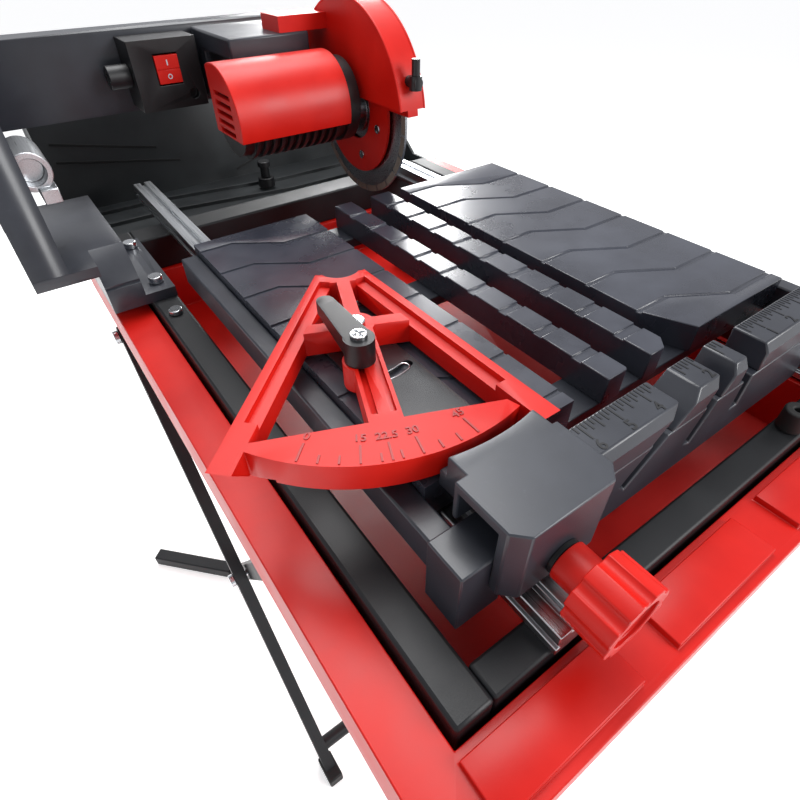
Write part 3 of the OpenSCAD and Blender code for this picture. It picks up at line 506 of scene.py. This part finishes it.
def slot_end(a, start):
    """The half round at one end of the slot."""
    turns = [start + math.pi * i / END_STEPS for i in range(1, END_STEPS)]
    return [on_slot(a, slot_r) + Vector((math.cos(a + t), math.sin(a + t), 0)) * STUD_R * MM for t in turns]


outline = slot_side(slot_r + STUD_R, range(ARC_STEPS + 1)) + slot_end(slot_a + SLOT_SWEEP, 0)
outline += slot_side(slot_r - STUD_R, range(ARC_STEPS, -1, -1)) + slot_end(slot_a, math.pi)
wire = bpy.data.curves.new("slot_rim_painted_highlight", "CURVE")
wire.dimensions = "3D"
wire.bevel_depth = WIRE_R * MM
wire.bevel_resolution = 2
spline = wire.splines.new("POLY")
spline.points.add(len(outline) - 1)
for point, co in zip(spline.points, outline):
    point.co = (*co, 1.0)
spline.use_cyclic_u = True
holder = bpy.data.objects.new("slot_wire", wire)
edge = bpy.data.objects.new("slot_rim_painted_highlight", bpy.data.meshes.new_from_object(holder))
bpy.data.objects.remove(holder)
bpy.context.scene.collection.objects.link(edge)
# Painted highlight: the bright zinc ring stands in for the light caught along the slot's rim.
finish_piece(edge, "stop", zinc)
print("slot edge at radius", round(slot_r, 1), "mm")

# %% [markdown]
# ## Rear pan
# The pan behind the frame catches the spray. Its back wall has pressed grooves that stiffen it; they are
# drawn as near-black bars, painted shade for the shade inside the grooves. A small peg on its floor holds the
# overflow plug.

# %% Pan grooves and peg
GROOVES = ((-290, -150, 2, -26), (-290, -120, -22, -50), (-36, 40, -82, -58), (40, 190, -58, -52))
GROOVE_HALF_H = 1.6
PEG_RINGS = ((13.0, 0.0, 14.0), (7.0, 14.0, 30.0), (10.0, 30.0, 38.0))
PEG_X, PEG_Y, PAN_FLOOR_Z = -18, 716, -89.0
PEG_DRAFT = 0.94        # a moulded peg narrows upwards so that it leaves its mould
wall_y = (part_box("splash_tray")[1].y - datum.y) / MM - 4.0
bm = bmesh.new()
for x0, x1, z0, z1 in GROOVES:
    made = bar(bm, (x0, wall_y - 0.8, -GROOVE_HALF_H), (x1, wall_y + 0.5, GROOVE_HALF_H))
    slope = math.atan2(z1 - z0, x1 - x0)
    middle = at((x0 + x1) / 2, wall_y, 0)
    bmesh.ops.rotate(bm, verts=made, cent=middle, matrix=Matrix.Rotation(-slope, 3, "Y"))
    bmesh.ops.translate(bm, verts=made, vec=Vector((0, 0, (z0 + z1) / 2)) * MM)
# Painted shade: the grooves take the near-black rubber finish, darker than the grey pan, for the shade inside
# them.
piece_from(bm, "pan_groove_painted_shade", "base", black_rubber, 0.4)
bm = bmesh.new()
for radius, z0, z1 in PEG_RINGS:
    made = bmesh.ops.create_cone(bm, cap_ends=True, segments=32, radius1=radius * MM,
                                 radius2=radius * MM * PEG_DRAFT, depth=(z1 - z0) * MM)["verts"]
    bmesh.ops.translate(bm, verts=made, vec=at(PEG_X, PEG_Y, PAN_FLOOR_Z + (z0 + z1) / 2))
piece_from(bm, "pan_peg", "base", black_nylon, 1.0)
print("pan wall at y", round(wall_y, 1))

# %% [markdown]
# ## The hood's rolled edges
# The guard over the blade ends in a rolled bead on each side, which stiffens the thin hood. A small circle
# spun round the arbor makes one bead.

# %% Hood beads
BEAD_R = 1.3
BEAD_SIDE = 14.3        # how far a bead stands from the blade's plane
HOOD_START = math.radians(9)
hub = (blade_lo + blade_hi) / 2
hood_r = (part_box("guard")[1].z - hub.z) - 0.4 * MM
bm = bmesh.new()
for side in (-1, 1):
    ring = bmesh.ops.create_circle(bm, segments=10, radius=BEAD_R * MM)["verts"]
    start = Vector((side * BEAD_SIDE * MM, -hood_r * math.cos(HOOD_START), hood_r * math.sin(HOOD_START)))
    bmesh.ops.translate(bm, verts=ring, vec=hub + start)
    edges = each_once(e for v in ring for e in v.link_edges)
    bmesh.ops.spin(bm, geom=ring + edges, cent=hub, axis=(1, 0, 0), steps=48,
                   angle=-(math.pi - 2 * HOOD_START), use_merge=False)
bmesh.ops.holes_fill(bm, edges=bm.edges, sides=0)
piece_from(bm, "hood_beads", "head", red_abs)
print("bead at", round(hood_r / MM, 1), "mm from the arbor")

# %% [markdown]
# ## The switch's figures
# A rocker is marked with a stroke for on and a ring for off. Both are thin pale bodies on its face, and they
# ride on the rocker.

# %% Switch figures
STROKE_W, STROKE_LOW, STROKE_HIGH = 1.2, 3.8, 8.8
RING_RADII = (2.4, 1.5)
RING_DROP = 6.3
PRINT_T = 0.5
rocker_lo, rocker_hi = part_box("rocker")
face = ((rocker_lo + rocker_hi) / 2 - datum) / MM
face.y = (rocker_lo.y - datum.y) / MM
bm = bmesh.new()
bar(bm, (face.x - STROKE_W / 2, face.y - 0.3, face.z + STROKE_LOW),
    (face.x + STROKE_W / 2, face.y + 0.2, face.z + STROKE_HIGH))
loops = []
for radius in RING_RADII:
    ring = bmesh.ops.create_circle(bm, segments=24, radius=radius * MM)["verts"]
    bmesh.ops.rotate(bm, verts=ring, cent=(0, 0, 0), matrix=Matrix.Rotation(math.pi / 2, 3, "X"))
    bmesh.ops.translate(bm, verts=ring, vec=at(face.x, face.y + 0.2, face.z - RING_DROP))
    loops += each_once(e for v in ring for e in v.link_edges)
ring_faces = bmesh.ops.bridge_loops(bm, edges=loops)["faces"]
thick = bmesh.ops.extrude_face_region(bm, geom=ring_faces)["geom"]
front = [g for g in thick if isinstance(g, bmesh.types.BMVert)]
bmesh.ops.translate(bm, verts=front, vec=(0, -PRINT_T * MM, 0))
piece_from(bm, "switch_figures", "switch", white_print)
print("figures on the rocker at", [round(v) for v in face])

# %% [markdown]
# ## Rating plate and cast ribs
# The beam carries a blank rating plate with four rivets. The column is one tall casting, and upright ribs on
# its outer face keep that wall from flexing.

# %% Rating plate and cast ribs
PLATE_X, PLATE_Z = (-232, -176), (88, 122)
RIVET_INSET = 4
COLUMN_RIBS = ((60, 78, 185), (110, 78, 217), (160, 78, 225), (205, 78, 225))    # place, foot and top
RIB_HALF_W = 2.5
beam_back = (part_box("cross_beam")[1].y - datum.y) / MM
bm = bmesh.new()
bar(bm, (PLATE_X[0], beam_back - 0.2, PLATE_Z[0]), (PLATE_X[1], beam_back + 0.7, PLATE_Z[1]))
for x in (PLATE_X[0] + RIVET_INSET, PLATE_X[1] - RIVET_INSET):
    for z in (PLATE_Z[0] + RIVET_INSET, PLATE_Z[1] - RIVET_INSET):
        stud = bmesh.ops.create_cone(bm, cap_ends=True, segments=16, radius1=1.6 * MM, radius2=1.0 * MM,
                                     depth=1.2 * MM)["verts"]
        bmesh.ops.rotate(bm, verts=stud, cent=(0, 0, 0), matrix=Matrix.Rotation(-math.pi / 2, 3, "X"))
        bmesh.ops.translate(bm, verts=stud, vec=at(x, beam_back + 1.2, z))
piece_from(bm, "rating_plate", "base", sheet_alu, 0.3)
corner = (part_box("column")[0] - datum) / MM
bm = bmesh.new()
for y, low, high in COLUMN_RIBS:
    bar(bm, (corner.x - 2.4, corner.y + y - RIB_HALF_W, corner.z + low),
        (corner.x + 0.5, corner.y + y + RIB_HALF_W, corner.z + high))
piece_from(bm, "column_ribs", "base", cast_coat, 1.1)
print("ribs stand on the face at x", round(corner.x, 1))

# %% [markdown]
# ## The blade's diamond rim
# A tile blade cuts with a band of sintered grit brazed round a plain steel disc. A short block is made for
# each segment and turned round the arbor to its place, leaving the cooling notches between the teeth.

# %% Diamond rim
SEGMENTS = 24
SEGMENT_SHARE = 0.9     # a segment's length over the pitch; the rest is a cooling notch
RIM_PROUD = 0.12        # how far the grit stands beyond the disc's face
RIM_TOP, RIM_HALF_DEPTH = 0.1, 3.4
blade_r = (blade_hi.z - blade_lo.z) / 2
half_t = (blade_hi.x - blade_lo.x) / 2 + RIM_PROUD * MM
pitch = 2 * math.pi / SEGMENTS
bm = bmesh.new()
for i in range(SEGMENTS):
    ring = bmesh.ops.create_grid(bm, x_segments=1, y_segments=6, size=0.5)["verts"]
    for v in ring:
        a = v.co.y * pitch * SEGMENT_SHARE
        r = blade_r - (RIM_TOP + RIM_HALF_DEPTH * (1 - v.co.x * 2)) * MM
        v.co = Vector((-half_t, r * math.sin(a), r * math.cos(a)))
    face_list = each_once(f for v in ring for f in v.link_faces)
    out = bmesh.ops.extrude_face_region(bm, geom=face_list)
    moved = [g for g in out["geom"] if isinstance(g, bmesh.types.BMVert)]
    bmesh.ops.translate(bm, verts=moved, vec=(2 * half_t, 0, 0))
    turn = Matrix.Rotation(pitch * i, 3, "X")
    bmesh.ops.rotate(bm, verts=each_once(ring + moved), cent=(0, 0, 0), matrix=turn)
bmesh.ops.translate(bm, verts=bm.verts, vec=hub)
piece_from(bm, "diamond_rim", "saw_blade", rim_grit)
print("rim of", SEGMENTS, "segments at", round(blade_r / MM, 1), "mm")

# %% [markdown]
# ## Studio
# A catalogue picture of such a saw is lit by big soft boxes from above and in front, over a pale floor.
# The camera stands at the operator's left shoulder, close, with a wide lens, looking down on the table.

# %% Camera
LENS_MM, SENSOR_MM = 24.0, 36.0
HEADING, DOWN, ROLL = math.radians(35.3), math.radians(42.1), math.radians(-0.53)
EYE_FROM_ZERO = Vector((-351.8, -114.9, 208.6))


def make_camera():
    """A wide lens close to the table's front left corner."""
    cam = bpy.data.cameras.new("camera")
    cam.lens = LENS_MM
    cam.sensor_width = SENSOR_MM
    cam.clip_start = 0.01
    obj = bpy.data.objects.new("camera", cam)
    bpy.context.scene.collection.objects.link(obj)
    ahead = math.cos(DOWN)
    look = Vector((math.sin(HEADING) * ahead, math.cos(HEADING) * ahead, -math.sin(DOWN)))
    turn = look.to_track_quat("-Z", "Y").to_matrix().to_4x4() @ Matrix.Rotation(ROLL, 4, "Z")
    scale_zero = Vector((blade_x + ZERO_X * MM, ruler_hi.y, ruler_hi.z))
    obj.matrix_world = Matrix.Translation(scale_zero + EYE_FROM_ZERO * MM) @ turn
    bpy.context.scene.camera = obj


make_camera()
print("camera", LENS_MM, "mm lens")

# %% [markdown]
# The floor is one wide pale sheet that glows a little, so it stays white where the soft boxes don't reach. It
# belongs to the studio and not to the saw.

# %% Floor
FLOOR_HALF = 40.0
FLOOR_GLOW = 0.45


def make_floor():
    """A pale sweep under the stand."""
    bm = bmesh.new()
    bmesh.ops.create_grid(bm, x_segments=2, y_segments=2, size=FLOOR_HALF)
    mesh = bpy.data.meshes.new("floor")
    bm.to_mesh(mesh)
    bm.free()
    obj = bpy.data.objects.new("floor", mesh)
    bpy.context.scene.collection.objects.link(obj)
    mat = bpy.data.materials.new("white_studio_sweep")
    mat.use_nodes = True
    paint = mat.node_tree.nodes["Principled BSDF"].inputs
    paint["Base Color"].default_value = linear("#f1f1f0")
    paint["Roughness"].default_value = 0.9
    paint["Emission Color"].default_value = linear("#ffffff")
    paint["Emission Strength"].default_value = FLOOR_GLOW
    obj.data.materials.append(mat)


make_floor()
print("floor", 2 * FLOOR_HALF, "m wide")

# %% [markdown]
# Large soft boxes give broad, gentle highlights: one above, one at the operator's side and one behind. The
# pale air round them fills the shadows.

# %% Lights
AIR_STRENGTH = 0.62


def soft_box(name, place, target, size, power):
    """A square area light that faces a point."""
    light = bpy.data.lights.new(name, "AREA")
    light.size = size
    light.energy = power
    obj = bpy.data.objects.new(name, light)
    obj.location = place
    obj.rotation_euler = (Vector(target) - Vector(place)).to_track_quat("-Z", "Y").to_euler()
    bpy.context.scene.collection.objects.link(obj)


world = bpy.data.worlds.new("studio_air")
world.use_nodes = True
world.node_tree.nodes["Background"].inputs["Color"].default_value = linear("#fafbff")
world.node_tree.nodes["Background"].inputs["Strength"].default_value = AIR_STRENGTH
bpy.context.scene.world = world
soft_box("ceiling_box", (0.3, 0.7, 2.9), (0, 0.1, 0.8), 1.5, 52)
soft_box("operator_box", (1.1, -2.2, 1.9), (0, 0, 0.8), 1.1, 46)
soft_box("rear_strip", (1.4, 2.2, 1.9), (0, 0.1, 0.8), 1.0, 50)
bpy.context.scene.view_settings.view_transform = "Standard"
print("lit by", len(bpy.data.lights), "soft boxes")
